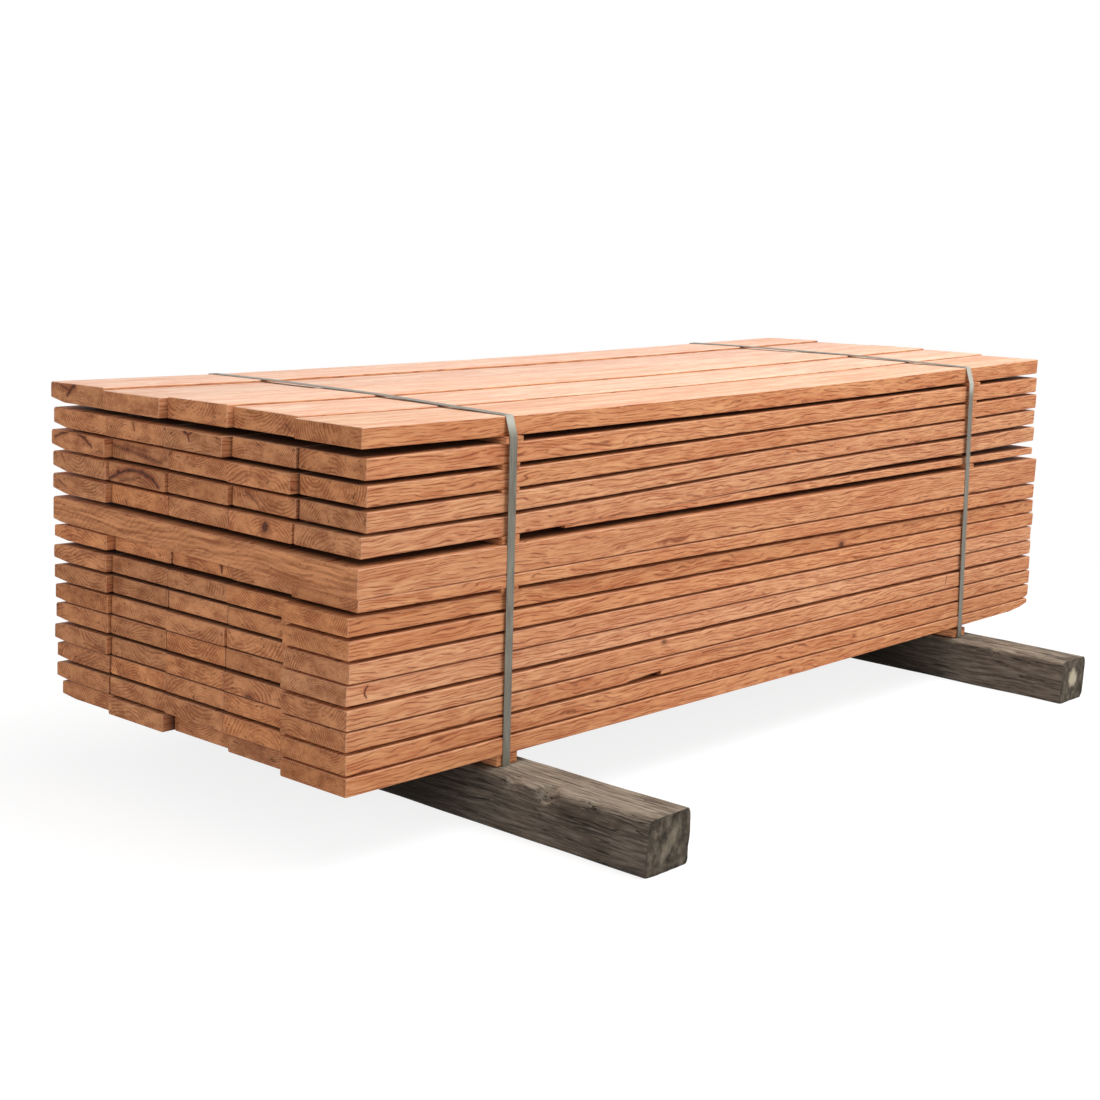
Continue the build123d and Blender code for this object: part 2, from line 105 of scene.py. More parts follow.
class Graph:
    """Short calls to build a node tree."""

    def __init__(self, name):
        self.mat = bpy.data.materials.new(name)
        self.mat.use_nodes = True
        self.tree = self.mat.node_tree
        self.bsdf = self.tree.nodes["Principled BSDF"]

    def new(self, kind, **props):
        node = self.tree.nodes.new(kind)
        for key, value in props.items():
            setattr(node, key, value)
        return node

    def feed(self, socket, value):
        if isinstance(value, bpy.types.NodeSocket):
            self.tree.links.new(value, socket)
        elif value is not None:
            socket.default_value = value

    def math(self, op, a, b=None, c=None, clamp=False):
        node = self.new("ShaderNodeMath", operation=op, use_clamp=clamp)
        for i, v in enumerate((a, b, c)):
            self.feed(node.inputs[i], v)
        return node.outputs[0]

    def vec(self, op, a, b=None):
        node = self.new("ShaderNodeVectorMath", operation=op)
        self.feed(node.inputs[0], a)
        self.feed(node.inputs[1], b)
        return node.outputs["Value" if op in ("LENGTH", "DOT_PRODUCT", "DISTANCE") else "Vector"]

    def scale(self, a, s):
        node = self.new("ShaderNodeVectorMath", operation="SCALE")
        self.feed(node.inputs[0], a)
        self.feed(node.inputs["Scale"], s)
        return node.outputs["Vector"]

    def noise(self, vector, scales, detail=2.0, rough=0.5, output="Fac"):
        """Noise with its own scale along each axis, in cells for each unit of the vector."""
        node = self.new("ShaderNodeTexNoise")
        self.feed(node.inputs["Vector"], self.vec("MULTIPLY", vector, scales))
        self.feed(node.inputs["Scale"], 1.0)
        self.feed(node.inputs["Detail"], detail)
        self.feed(node.inputs["Roughness"], rough)
        return node.outputs[output]

    def steps(self, vector, scales, detail=2.0):
        """Random steps along the three axes, between about -0.5 and 0.5."""
        return self.vec("SUBTRACT", self.noise(vector, scales, detail, output="Color"), (0.5, 0.5, 0.5))

    def axes(self, vector):
        node = self.new("ShaderNodeSeparateXYZ")
        self.feed(node.inputs[0], vector)
        return node.outputs

    def own_mm(self):
        """The object's own coordinates, which are the shared frame's, in mm."""
        return self.scale(self.new("ShaderNodeTexCoord").outputs["Object"], TO_MM)

    def facing(self):
        """The surface normal along X, Y and Z."""
        return self.axes(self.new("ShaderNodeNewGeometry").outputs["Normal"])

    def ramp(self, fac, stops):
        node = self.new("ShaderNodeValToRGB")
        self.feed(node.inputs["Fac"], fac)
        elements = node.color_ramp.elements
        while len(elements) < len(stops):
            elements.new(0.5)
        for element, (pos, value) in zip(elements, stops):
            element.position = pos
            element.color = value if isinstance(value, tuple) else (value, value, value, 1)
        return node.outputs["Color"]

    def mix(self, fac, a, b):
        node = self.new("ShaderNodeMix", data_type="RGBA", blend_type="MIX")
        self.feed(node.inputs["Factor"], fac)
        self.feed(node.inputs["A"], a)
        self.feed(node.inputs["B"], b)
        return node.outputs["Result"]

    def smooth(self, value, low, high, to_low=0.0, to_high=1.0):
        node = self.new("ShaderNodeMapRange", interpolation_type="SMOOTHSTEP")
        self.feed(node.inputs["Value"], value)
        node.inputs["From Min"].default_value = low
        node.inputs["From Max"].default_value = high
        node.inputs["To Min"].default_value = to_low
        node.inputs["To Max"].default_value = to_high
        return node.outputs["Result"]

    def bump(self, height, strength, distance):
        node = self.new("ShaderNodeBump")
        self.feed(node.inputs["Height"], height)
        self.feed(node.inputs["Strength"], strength)
        self.feed(node.inputs["Distance"], distance)
        return node.outputs["Normal"]

    def segment(self, point, a, b, width_a, width_b, keep):
        """Distance from a tapered line between a and b in mm, as a share of its half width there.
        keep is 0 for the axis that doesn't count."""
        span = tuple((q - p) * k for p, q, k in zip(a, b, keep))
        length = sum(v * v for v in span)
        rel = self.vec("MULTIPLY", self.vec("SUBTRACT", point, a), keep)
        t = self.math("DIVIDE", self.vec("DOT_PRODUCT", rel, span), length, clamp=True)
        dist = self.vec("DISTANCE", rel, self.scale(span, t))
        width = self.math("MULTIPLY_ADD", t, width_b - width_a, width_a)
        return self.math("DIVIDE", dist, width)


# Colours of the wood, sRGB.
SIDE_LIGHT = srgb(228, 168, 120)
SIDE_DARK = srgb(188, 114, 74)
GRAIN_RED = srgb(120, 56, 34)
TOP_LIGHT = srgb(241, 206, 180)
TOP_DARK = srgb(226, 172, 144)
TOP_LINE = srgb(196, 130, 100)
END_LIGHT = srgb(212, 146, 98)
END_DARK = srgb(148, 86, 52)
# Painted shade inside the stack, and the dark specks on the end faces.
DEEP_SHADE_AND_SPECKS = srgb(52, 24, 14)
MARK_DARK = srgb(60, 28, 16)

# Usual distance between the dark lines of the grain, and the sideways reach of its slow wander
# and of its finer wobble, mm.
FIBRE_PITCH = 7.0
WANDER = 60.0
WOBBLE = 12.0
# Darkness across one growth ring, from the inside out.
RING_PROFILE = [(0.0, 0.1), (0.45, 0.25), (0.8, 0.9), (0.92, 1.0), (1.0, 0.1)]
# The axes that count for a mark on the front ends and for one on the near side.
ON_FRONT = (0.0, 1.0, 1.0)
ON_NEAR = (1.0, 0.0, 1.0)


def tint(color, value, warm):
    """The colour made lighter or darker, and redder or yellower."""
    r, g, b, a = color
    return (min(1, r * value * (1 + warm)), min(1, g * value), min(1, b * value * (1 - warm * 1.5)), a)


class BoardGraph(Graph):
    """The places in mm, faces and wandering grain that all parts of a board's material share."""

    def __init__(self, name, box, slope, seed, along):
        super().__init__(name)
        pick = random.Random(seed)
        self.low, self.high = box
        self.row_mm = self.own_mm()
        middle = self.new("ShaderNodeMapping")
        self.feed(middle.inputs["Vector"], self.row_mm)
        middle.inputs["Location"].default_value = tuple(-TO_MM * (p + q) / 2 for p, q in zip(*box))
        turned = self.new("ShaderNodeMapping")
        self.feed(turned.inputs["Vector"], middle.outputs["Vector"])
        quarter = -math.pi / 2 if along == "y" else 0
        turned.inputs["Rotation"].default_value = (0, math.atan(slope), quarter)
        self.point = turned.outputs["Vector"]
        shift = (pick.uniform(-9000, 9000), pick.uniform(-900, 900), pick.uniform(-900, 900))
        self.shifted = self.vec("ADD", self.point, shift)

        # slow wander of the grain, then finer wobble
        self.slow = self.steps(self.shifted, (0.0016, 0.006, 0.006))
        quick = self.steps(self.shifted, (0.014, 0.03, 0.03))
        self.wander = self.vec("MULTIPLY", self.slow, (0.0, WANDER, WANDER))
        self.wobble = self.vec("MULTIPLY", quick, (0.0, WOBBLE, WOBBLE))
        self.wavy = self.vec("ADD", self.vec("ADD", self.shifted, self.wander), self.wobble)

        self.normal = self.facing()
        self.nx, self.ny, self.nz = (self.math("ABSOLUTE", self.normal[k]) for k in range(3))
        self.on_end = self.smooth(self.ny if along == "y" else self.nx, 0.6, 0.85)


def growth_rings(g, ring, pith, tilt):
    """Rings around the pith, which leans through the board."""
    bent = g.vec("ADD", g.vec("ADD", g.point, g.scale(g.wander, 0.3)), g.scale(g.wobble, 0.2))
    x, y, z = g.axes(bent)
    dy = g.math("SUBTRACT", y, g.math("MULTIPLY_ADD", x, tilt[0], pith[0]))
    dz = g.math("SUBTRACT", z, g.math("MULTIPLY_ADD", x, tilt[1], pith[1]))
    radius = g.math("SQRT", g.math("ADD", g.math("MULTIPLY", dy, dy), g.math("MULTIPLY", dz, dz)))
    stretch = g.noise(g.shifted, (0.002, 0.016, 0.016))
    count = g.math("DIVIDE", g.math("MULTIPLY_ADD", stretch, ring * 4, radius), ring)
    return g.ramp(g.math("FRACT", count), RING_PROFILE)


def fibres(g):
    """Soft bands, fine streaks and dark wavy lines that come and go along the grain."""
    bands = g.noise(g.wavy, (0.003, 0.045, 0.045), detail=3.0, rough=0.6)
    streak = g.noise(g.wavy, (0.012, 0.2, 0.2), detail=2.5, rough=0.6)
    drift = g.noise(g.shifted, (0.004, 0.03, 0.03))
    across = g.math("DIVIDE", g.vec("DOT_PRODUCT", g.wavy, (0.0, 0.5, 1.0)), FIBRE_PITCH)
    wave = g.math("FRACT", g.math("MULTIPLY_ADD", drift, 5.0, across))
    wave = g.smooth(g.math("ABSOLUTE", g.math("SUBTRACT", wave, 0.5)), 0.2, 0.05)
    lines = g.math("MULTIPLY", wave, g.smooth(streak, 0.36, 0.6, 0.12, 1.0))
    grain = g.smooth(g.math("ADD", g.math("MULTIPLY", bands, 0.4), streak), 0.4, 1.0)
    return bands, streak, lines, grain


def side_color(g, value, warm, grain, lines):
    """Sawn sides: light and dark grain, broader tones and the dark lines."""
    tone = g.noise(g.shifted, (0.0022, 0.012, 0.012))
    color = g.mix(grain, tint(SIDE_LIGHT, value, warm), tint(SIDE_DARK, value, warm))
    color = g.mix(g.smooth(tone, 0.4, 0.7, 0.0, 0.3), color, tint(SIDE_DARK, value * 1.02, warm + 0.06))
    return g.mix(g.math("MULTIPLY", lines, 0.68), color, tint(GRAIN_RED, value, 0))


def top_color(g, value, warm, bands, streak, lines):
    """The pale upper face of the top course, with pinkish bands."""
    broad = g.math("ADD", g.math("MULTIPLY", bands, 0.7), g.math("MULTIPLY", streak, 0.45))
    color = g.mix(g.smooth(broad, 0.42, 0.72), tint(TOP_LIGHT, value, warm), tint(TOP_DARK, value, warm))
    pink = g.noise(g.wavy, (0.0016, 0.03, 0.03), detail=4.0, rough=0.7)
    color = g.mix(g.smooth(pink, 0.52, 0.68, 0.0, 0.32), color, tint(TOP_LINE, value * 1.15, 0.02))
    return g.mix(g.math("MULTIPLY", lines, 0.3), color, TOP_LINE)


def paint_edge_highlight(g, color):
    """Painted highlight: eased edges are made paler, as if they catch more light, except under a board."""
    corner = g.math("MAXIMUM", g.math("MAXIMUM", g.nx, g.ny), g.nz)
    share = g.smooth(corner, 0.93, 0.78, 0.0, 0.3)
    share = g.math("MULTIPLY", share, g.smooth(g.normal["Z"], -0.4, 0.1))
    return g.mix(share, color, tint(TOP_LIGHT, 0.94, 0.02))


def paint_inside_shade(g, color, top_pale):
    """Painted shade: faces inside the stack are darkened, more so away from its outer sides and its ends."""
    place_mm = g.axes(g.row_mm)
    depth = g.math("MINIMUM", g.math("SUBTRACT", place_mm["Y"], STACK_NEAR),
                   g.math("SUBTRACT", STACK_FAR, place_mm["Y"]))
    ends = g.math("MINIMUM", g.math("SUBTRACT", place_mm["X"], g.low[0] * TO_MM),
                  g.math("SUBTRACT", g.high[0] * TO_MM, place_mm["X"]))
    flat = g.smooth(g.normal["Z"], -0.6, -0.9) if top_pale else g.smooth(g.nz, 0.6, 0.9)
    reach = g.math("MINIMUM", depth, ends)
    painted_shade = g.math("MULTIPLY", flat, g.smooth(reach, 10.0, 46.0, 0.0, 0.85))
    if not top_pale:
        # painted shade on the side faces between boards, away from the outer sides and the ends
        shade_between = g.math("MULTIPLY", g.smooth(g.ny, 0.6, 0.9), g.smooth(depth, 22.0, 30.0))
        shade_between = g.math("MULTIPLY", shade_between, g.smooth(ends, 16.0, 44.0, 0.0, 0.85))
        painted_shade = g.math("ADD", painted_shade, shade_between, clamp=True)
    return g.mix(painted_shade, color, DEEP_SHADE_AND_SPECKS)


def end_color(g, value, warm, rings, ring_strength, slab):
    """End faces, browner than the sides: faint ring arcs, blotches, saw marks and dark specks."""
    speck = g.noise(g.shifted, (0.3, 0.1, 0.13), detail=3.0, rough=0.7)
    faint = g.noise(g.shifted, (0.01, 0.018, 0.03), detail=1.0)
    arcs = g.math("MULTIPLY", rings, g.smooth(faint, 0.36, 0.62, 0.06, 0.3 * ring_strength))
    if slab:
        comb = g.vec("ADD", g.shifted, g.vec("MULTIPLY", g.slow, (0.0, 0.0, 34.0)))
        rake = g.noise(comb, (0.01, 0.006, 0.13), detail=3.0, rough=0.6)
        grain = g.math("MULTIPLY_ADD", rake, 1.15, g.math("MULTIPLY_ADD", speck, 0.2, arcs))
        grain = g.smooth(grain, 0.5, 1.0)
    else:
        blotch = g.noise(g.shifted, (0.02, 0.02, 0.045), detail=4.0, rough=0.62)
        grain = g.math("MULTIPLY_ADD", blotch, 0.75, g.math("MULTIPLY_ADD", speck, 0.4, arcs))
        grain = g.smooth(grain, 0.42, 0.9)
    color = g.mix(grain, tint(END_LIGHT, value, warm), tint(END_DARK, value, warm))
    stain = g.noise(g.shifted, (0.01, 0.014, 0.03), detail=4.0, rough=0.7)
    color = g.mix(g.smooth(stain, 0.56, 0.72, 0.0, 0.4), color, tint(END_DARK, 0.6 * value, warm + 0.05))
    pits = g.noise(g.shifted, (0.2, 0.09, 0.16), detail=1.0)
    return g.mix(g.smooth(pits, 0.66, 0.76, 0.0, 0.6), color, DEEP_SHADE_AND_SPECKS)


def draw_marks(g, color, marks, knots):
    """Checks as tapered lines and knots as dark rounds with a halo, on the front ends or the near side.
    Returns the colour, and how much each place is cut in, or None."""
    if not marks and not knots:
        return color, None
    jitter = g.steps(g.row_mm, (0.08, 0.08, 0.08), detail=3.0)
    jagged = g.vec("ADD", g.row_mm, g.scale(jitter, 9.0))
    front = g.math("MULTIPLY", g.on_end, g.math("LESS_THAN", g.normal["X"], 0.0))
    near = g.math("LESS_THAN", g.normal["Y"], -0.5)
    cut = None
    for start, stop, width_a, width_b, strength, keep in marks:
        face = g.math("MULTIPLY", front if keep == ON_FRONT else near, strength)
        away = g.segment(jagged, start, stop, width_a, width_b, keep)
        halo = g.math("MULTIPLY", g.smooth(away, 3.0, 0.8, 0.0, 0.55), face)
        color = g.mix(halo, color, tint(GRAIN_RED, 1.2, 0))
        inside = g.math("MULTIPLY", g.smooth(away, 1.2, 0.3), face)
        color = g.mix(inside, color, MARK_DARK)
        cut = inside if cut is None else g.math("MAXIMUM", cut, inside)
    for centre, radii, strength, keep in knots:
        face = g.math("MULTIPLY", front if keep == ON_FRONT else near, strength)
        rel = g.vec("DIVIDE", g.vec("MULTIPLY", g.vec("SUBTRACT", jagged, centre), keep), radii)
        away = g.vec("LENGTH", rel)
        halo = g.math("MULTIPLY", g.smooth(away, 2.4, 0.9, 0.0, 0.55), face)
        color = g.mix(halo, color, tint(GRAIN_RED, 1.1, 0))
        color = g.mix(g.math("MULTIPLY", g.smooth(away, 1.05, 0.5), face), color, MARK_DARK)
    return color, cut


def board_material(name, box, slope, seed, value, ring, pith, end_value, warm=0.0, tilt=(0.0, 0.0),
                   marks=(), knots=(), along="x", top_pale=False, slab=False, ring_strength=1.0):
    """Sawn softwood: wavy fibres along the grain, growth rings on the browner end faces.
    value and warm make it lighter and redder, end_value its ends, and ring is the rings' distance in mm."""
    g = BoardGraph(name, box, slope, seed, along)
    bands, streak, lines, grain = fibres(g)
    color = side_color(g, value, warm, grain, lines)
    if top_pale:
        top = top_color(g, value, warm, bands, streak, lines)
        color = g.mix(g.smooth(g.normal["Z"], 0.35, 0.9), color, top)
    color = paint_edge_highlight(g, color)
    if along == "x":
        color = paint_inside_shade(g, color, top_pale)
    rings = growth_rings(g, ring, pith, tilt)
    end = end_color(g, value * end_value, warm, rings, ring_strength, slab)
    color, cut = draw_marks(g, g.mix(g.on_end, color, end), marks, knots)
    g.feed(g.bsdf.inputs["Base Color"], color)
    g.feed(g.bsdf.inputs["Roughness"], g.smooth(grain, 0.0, 1.0, 0.62, 0.8))
    g.bsdf.inputs["Specular IOR Level"].default_value = 0.25
    height = g.math("SUBTRACT", streak, g.math("MULTIPLY", lines, 0.3))
    if cut is not None:
        height = g.math("SUBTRACT", height, cut)
    g.feed(g.bsdf.inputs["Normal"], g.bump(height, 0.5, 0.001))
    return g.mat


# Colours of the old grey timber, sRGB: ramps from dark to light, and its stains and worn fibres.
BEARER_SIDE = [(0.28, srgb(47, 42, 37)), (0.48, srgb(91, 82, 73)), (0.66, srgb(119, 109, 98)),
               (0.8, srgb(139, 128, 114))]
BEARER_TOP = [(0.28, srgb(86, 76, 65)), (0.5, srgb(144, 132, 116)), (0.72, srgb(184, 173, 156))]
BEARER_END = [(0.32, srgb(42, 37, 31)), (0.5, srgb(82, 73, 62)), (0.68, srgb(116, 106, 92)),
              (0.8, srgb(144, 133, 117))]
BEARER_STAIN = srgb(64, 54, 45)
BEARER_WORN = srgb(178, 166, 146)
BEARER_SPLIT = srgb(34, 27, 21)
# Painted shade under the stack.
BEARER_SHADE = srgb(30, 24, 19)


def bearer_material(name, seed, end_patch):
    """Old grey timber, with long splits, dark stains and paler worn fibres.
    end_patch holds the middle, radii, angle, colour and strength of the pale patch on the front end."""
    pick = random.Random(seed)
    g = Graph(name)
    row_mm = g.own_mm()
    shift = (pick.uniform(-900, 900), pick.uniform(-9000, 9000), pick.uniform(-900, 900))
    shifted = g.vec("ADD", row_mm, shift)
    bend = g.vec("MULTIPLY", g.steps(shifted, (0.012, 0.0035, 0.012)), (26.0, 0.0, 26.0))
    bent = g.vec("ADD", shifted, bend)
    streak = g.noise(bent, (0.16, 0.009, 0.16), detail=4.0, rough=0.66)
    fine = g.noise(bent, (0.55, 0.03, 0.55), rough=0.6)
    patch = g.noise(shifted, (0.014, 0.006, 0.014), detail=4.0, rough=0.6)
    split_noise = g.noise(bent, (0.07, 0.0022, 0.07), detail=3.0)
    split = g.smooth(g.math("ABSOLUTE", g.math("SUBTRACT", split_noise, 0.5)), 0.018, 0.004)
    split = g.math("MULTIPLY", split, g.smooth(patch, 0.4, 0.56, 0.15, 0.9))

    normal = g.facing()
    top_share = g.smooth(normal["Z"], 0.35, 0.85)
    color = g.mix(top_share, g.ramp(streak, BEARER_SIDE), g.ramp(streak, BEARER_TOP))
    color = g.mix(g.smooth(patch, 0.48, 0.68, 0.0, 0.7), color, BEARER_STAIN)
    color = g.mix(g.smooth(fine, 0.55, 0.8, 0.0, 0.35), color, BEARER_WORN)

    # the end face, with its pale patch
    end = g.ramp(g.noise(shifted, (0.05, 0.01, 0.035), detail=4.0, rough=0.7), BEARER_END)
    centre, radii, angle, shade, shade_share = end_patch
    turned = g.new("ShaderNodeMapping", vector_type="POINT")
    g.feed(turned.inputs["Vector"], g.vec("SUBTRACT", row_mm, centre))
    turned.inputs["Rotation"].default_value = (0, angle, 0)
    ragged = g.vec("MULTIPLY", g.steps(row_mm, (0.06, 0.06, 0.06), detail=3.0), (26.0, 0.0, 26.0))
    rel = g.vec("DIVIDE", g.vec("ADD", turned.outputs["Vector"], ragged), radii)
    end = g.mix(g.smooth(g.vec("LENGTH", rel), 1.25, 0.5, 0.0, shade_share), end, shade)
    on_end = g.smooth(g.math("ABSOLUTE", normal["Y"]), 0.55, 0.8)
    color = g.mix(on_end, color, end)
    color = g.mix(g.math("MULTIPLY", split, g.math("SUBTRACT", 1.0, on_end)), color, BEARER_SPLIT)

    # painted shade, darker under the stack
    shade_under = g.smooth(g.axes(row_mm)["Y"], STACK_NEAR + 10, STACK_NEAR + 230, 0.0, 0.75)
    g.feed(g.bsdf.inputs["Base Color"], g.mix(shade_under, color, BEARER_SHADE))
    g.bsdf.inputs["Roughness"].default_value = 0.86
    g.bsdf.inputs["Specular IOR Level"].default_value = 0.2
    height = g.math("SUBTRACT", g.math("MULTIPLY_ADD", fine, 0.4, streak), g.math("MULTIPLY", split, 0.8))
    g.feed(g.bsdf.inputs["Normal"], g.bump(height, 0.8, 0.003))
    return g.mat


STRAP_GREY = [(0.3, srgb(98, 94, 84)), (0.55, srgb(122, 118, 106)), (0.75, srgb(146, 142, 128))]
STRAP_DIRT = srgb(92, 80, 66)
# Painted highlight for the bend over the near top edge.
STRAP_HIGHLIGHT = srgb(196, 194, 182)


def strap_material(name):
    """Dull grey flat steel strap with scuffs, and a painted highlight where it bends over the near top edge.
    """
    g = Graph(name)
    row_mm = g.own_mm()
    scuff = g.noise(row_mm, (0.35, 0.02, 0.02), detail=3.0, rough=0.6)
    dirt = g.noise(row_mm, (0.03, 0.01, 0.01), detail=3.0)
    color = g.mix(g.smooth(dirt, 0.5, 0.75, 0.0, 0.45), g.ramp(scuff, STRAP_GREY), STRAP_DIRT)
    place_mm = g.axes(row_mm)
    # painted highlight along the bend over the near top edge
    wear_and_highlight = g.math("MULTIPLY", g.smooth(place_mm["Z"], STRAP_BEND_Z - 46, STRAP_BEND_Z - 14),
                  g.smooth(place_mm["Y"], STACK_NEAR + 24, STACK_NEAR + 8))
    g.feed(g.bsdf.inputs["Base Color"], g.mix(g.math("MULTIPLY", wear_and_highlight, 0.8), color, STRAP_HIGHLIGHT))
    g.bsdf.inputs["Metallic"].default_value = 0.2
    g.feed(g.bsdf.inputs["Roughness"], g.smooth(scuff, 0.3, 0.8, 0.38, 0.6))
    g.feed(g.bsdf.inputs["Normal"], g.bump(scuff, 0.25, 0.0005))
    return g.mat


def add_edges(obj, width):
    """Welds the imported faces and rounds the sharp edges a little."""
    weld = obj.modifiers.new("weld", "WELD")
    weld.merge_threshold = WELD_GAP
    bevel = obj.modifiers.new("round_edges", "BEVEL")
    bevel.width = width
    bevel.segments = 2
    bevel.limit_method = "ANGLE"
    bevel.angle_limit = ROUND_ANGLE
    bevel.use_clamp_overlap = True
    bevel.harden_normals = False


def paint(obj, materials, pick=lambda middle: 0):
    """Gives each face of a node the material whose number pick() tells from the face's middle."""
    obj.data.materials.clear()
    for material in materials:
        obj.data.materials.append(material)
    for face in obj.data.polygons:
        face.material_index = pick(face.center)


# Front end X of the boards that carry marks, and Y of the near side, in the stack's own frame in mm.
FRONT_X = {"1a": -10, "1d": 20, "2a": -3, "2b": -6, "2c": -8, "3a": -7, "3b": 11, "3c": 8, "4a": -3, "4b": 2,
           "4d": 18, "5a": -3, "5d": 8, "7c": 18, "8b": 9, "12d": 0, "14d": -2}
NEAR_Y = -455.0

# Checks and dark streaks in the photo's pixels: board, points, half width in mm at both ends, strength.
END_STROKES = [
    ("1a", [(60, 385), (68, 389)], 2.0, 3.0, 0.7),
    ("1a", [(74, 386), (70, 390), (67, 396)], 5.5, 2.0, 0.85),
    ("1d", [(286, 425), (292, 433)], 2.5, 1.5, 0.5),
    ("2b", [(133, 423), (135, 431)], 3.5, 1.5, 0.6),
    ("2c", [(184, 431), (188, 435)], 3.0, 3.0, 0.9),
    ("2c", [(193, 430), (188, 435), (189, 441)], 2.5, 2.0, 0.9),
    ("3a", [(55, 436), (64, 432), (73, 431), (85, 438), (91, 447)], 3.0, 3.5, 0.75),
    ("3a", [(75, 430), (88, 442)], 3.0, 2.0, 0.6),
    ("3b", [(110, 444), (128, 450), (146, 457), (161, 463)], 6.0, 4.0, 0.5),
    ("3b", [(124, 444), (150, 452)], 4.0, 2.0, 0.35),
    ("3c", [(164, 460), (172, 452)], 3.0, 1.5, 0.6),
    ("4a", [(60, 451), (65, 462)], 2.5, 1.5, 0.6),
    ("4b", [(109, 479), (118, 473), (128, 470), (142, 472), (152, 479), (158, 487)], 5.0, 4.0, 0.85),
    ("4b", [(120, 480), (140, 478)], 5.0, 3.0, 0.4),
    ("4d", [(247, 492), (259, 505)], 4.0, 2.0, 0.5),
    ("5a", [(58, 480), (66, 486)], 2.5, 1.5, 0.5),
    ("7c", [(221, 564), (222, 573)], 5.0, 1.5, 0.95),
    ("8b", [(140, 577), (157, 588)], 3.0, 2.0, 0.4),
    ("12d", [(246, 696), (253, 698)], 4.0, 3.0, 0.7),
    ("14d", [(244, 754), (250, 744), (256, 753)], 4.0, 3.5, 0.8),
]
# Knots, as board, pixel, half width and half height in mm, strength.
END_KNOTS = [("5d", (265, 527), (10.0, 14.0), 0.85)]
SIDE_STROKES = [
    ("11e", [(366, 686), (364, 689), (363.4, 692), (364, 695), (365.5, 697)], 1.8, 1.4, 0.85),
    ("12e", [(945, 574), (943, 586)], 2.0, 1.5, 0.6),
    ("13e", [(700, 652), (760, 640)], 2.0, 1.0, 0.4),
]
SIDE_KNOTS = [("8e", (841, 545), (13.0, 11.0), 0.8), ("12e", (662, 641), (9.0, 7.0), 0.6)]

# The same marks in the shared frame in mm, by board.
MARKS = {}
KNOTS = {}
for strokes, axis, keep in ((END_STROKES, 0, ON_FRONT), (SIDE_STROKES, 1, ON_NEAR)):
    for board, pixels, width_a, width_b, strength in strokes:
        plane = FRONT_X[board] if axis == 0 else NEAR_Y
        spots = [seen_at(px, py, axis, plane) for px, py in pixels]
        steps = len(spots) - 1
        for i in range(steps):
            wide = [width_a + (width_b - width_a) * k / steps for k in (i, i + 1)]
            mark = (spots[i], spots[i + 1], wide[0], wide[1], strength, keep)
            MARKS.setdefault(board, []).append(mark)
for found, axis, keep in ((END_KNOTS, 0, ON_FRONT), (SIDE_KNOTS, 1, ON_NEAR)):
    for board, (px, py), (across, tall), strength in found:
        plane = FRONT_X[board] if axis == 0 else NEAR_Y
        knot = (seen_at(px, py, axis, plane), (across, across, tall), strength, keep)
        KNOTS.setdefault(board, []).append(knot)

# Mean slope of the grain where it climbs with the bend, by course. The others follow the level courses.
SLOPES = {1: 0.022, 2: 0.022, 3: 0.022, 4: 0.022, 5: 0.022, THIN_COURSE: 0.008}
SLAB_SLOPE = 0.0087
LEVEL_SLOPE = -0.0012

# Lighter, darker, redder or yellower boards along the near side, as (value, warmth).
NEAR_TONES = {1: (0.93, 0.05), 2: (0.97, 0.02), 3: (0.93, 0.03), 4: (1.0, -0.02), 5: (1.0, -0.03),
              7: (0.94, 0.03), 8: (0.88, 0.06), 9: (0.94, 0.04), 10: (1.06, -0.04), 11: (1.1, -0.06),
              12: (0.98, -0.01), 13: (0.92, 0.02), 14: (0.9, 0.04), 15: (0.87, 0.06)}
# Ends that the photo shows lighter or darker than their neighbours.
END_VALUES = {"1e": 0.86, "2c": 0.92, "3a": 0.94, "3b": 0.8, "4b": 0.84, "5d": 1.02, "8b": 0.85, "9b": 0.84}


def paint_course(number, node_name):
    """Five boards side by side, each with a wood of its own."""
    obj = nodes[node_name]
    low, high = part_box(node_name)
    count = len(BOARD_NAMES)
    pitch = (high.y - low.y) / count
    materials = []
    for i, letter in enumerate(BOARD_NAMES):
        key = "%s%s" % (number, letter)
        pick = random.Random("board %s" % key)
        top_y = high.y - i * pitch
        box = ((low.x, top_y - pitch, low.z), (high.x, top_y, high.z))
        side = pick.choice((-1, 1))
        value, warm = pick.uniform(0.94, 1.05), pick.uniform(-0.03, 0.04)
        if letter == BOARD_NAMES[-1]:
            value, warm = NEAR_TONES.get(number, (value, warm))
        materials.append(board_material(
            "wood_" + key, box, SLOPES.get(number, LEVEL_SLOPE), "grain %s" % key, value, warm=warm,
            ring=pick.uniform(4.5, 8.5), pith=(pick.uniform(-60, 60), side * pick.uniform(15, 110)),
            tilt=(pick.uniform(-0.02, 0.02), pick.uniform(-0.012, 0.012)), top_pale=number == 1,
            marks=MARKS.get(key, ()), knots=KNOTS.get(key, ()),
            end_value=END_VALUES.get(key, pick.uniform(0.88, 1.08))))
    paint(obj, materials, lambda middle: min(count - 1, max(0, int((high.y - middle.y) / pitch))))
    add_edges(obj, BOARD_ROUND)


def paint_slab():
    """One thick piece, with a raked end and almost straight rings."""
    low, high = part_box("thick_slab")
    box = (tuple(low), tuple(high))
    material = board_material("wood_slab", box, SLAB_SLOPE, "slab grain", 0.94, ring=11.0,
                              pith=(-300.0, -900.0), tilt=(0.01, 0.01), end_value=1.08,
                              slab=True, ring_strength=0.5)
    paint(nodes["thick_slab"], [material])
    add_edges(nodes["thick_slab"], BOARD_ROUND)


